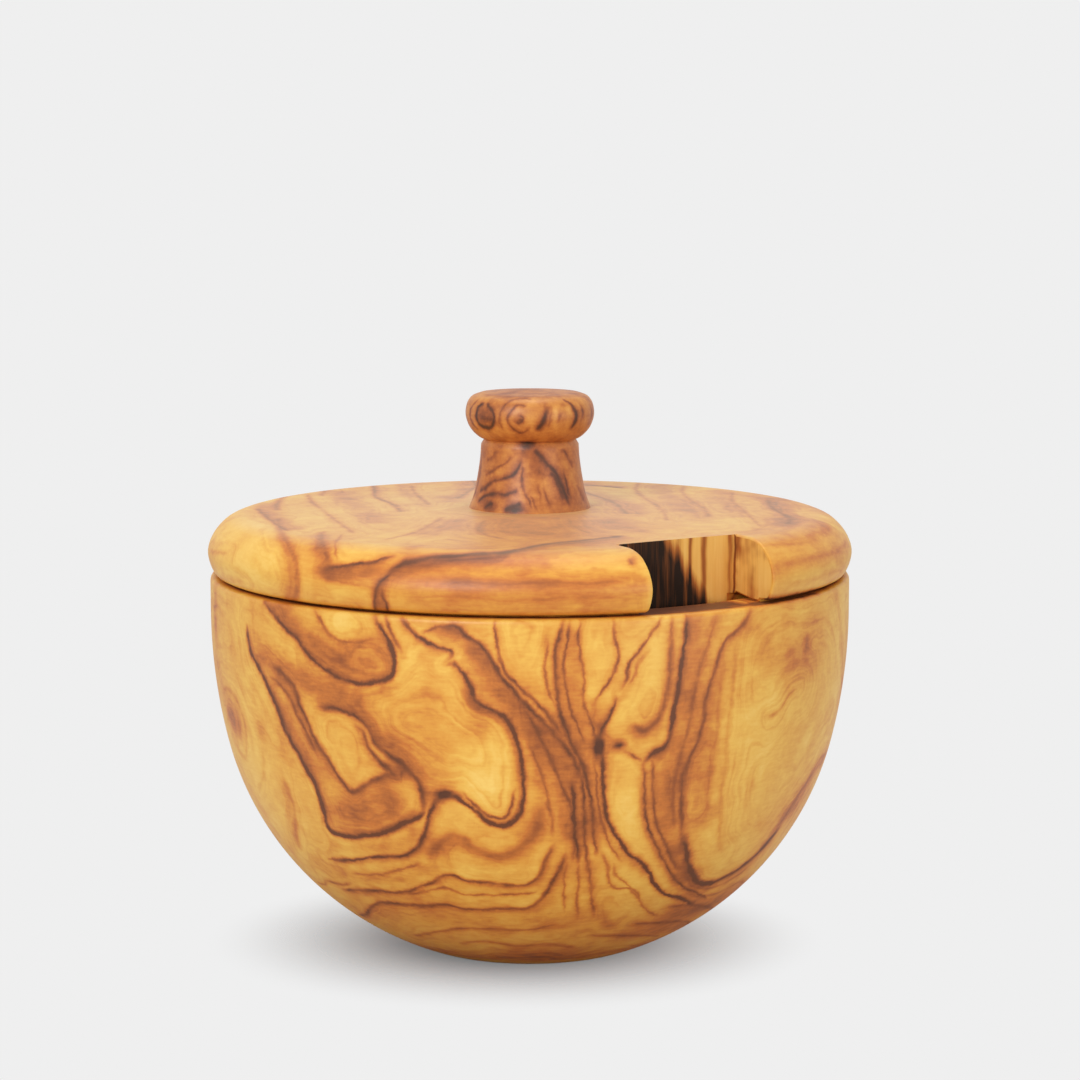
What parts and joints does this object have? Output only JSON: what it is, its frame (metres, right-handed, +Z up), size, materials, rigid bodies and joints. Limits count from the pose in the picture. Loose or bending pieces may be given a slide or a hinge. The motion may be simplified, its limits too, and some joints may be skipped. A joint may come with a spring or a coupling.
{
  "type": "lidded spice canister",
  "caption": "Round turned wooden bowl with a loose lid that drops into its mouth, a spoon notch in the lid's edge and a turned knob.",
  "frame": {"origin": "centre of the foot, on the surface that the bowl stands on", "axes": "+Z up along the turning axis, -Y towards the viewer, +X to the viewer's right"},
  "size_m": [0.1208, 0.1208, 0.105],
  "materials": {
    "olive_wood_bowl": "oiled and polished to a satin",
    "olive_wood_lid": "oiled and polished to a satin",
    "olive_wood_knob": "oiled and polished to a satin, from a darker part of the tree"
  },
  "bodies": {
    "bowl": {"bowl": "olive_wood_bowl"},
    "lid": {"lid": "olive_wood_lid", "knob": "olive_wood_knob"}
  },
  "joints": [
    {"name": "lid_lift", "type": "slide", "parent": "bowl", "child": "lid", "axis": [0, 0, 1], "range_m": [0, 0.05]}
  ]
}
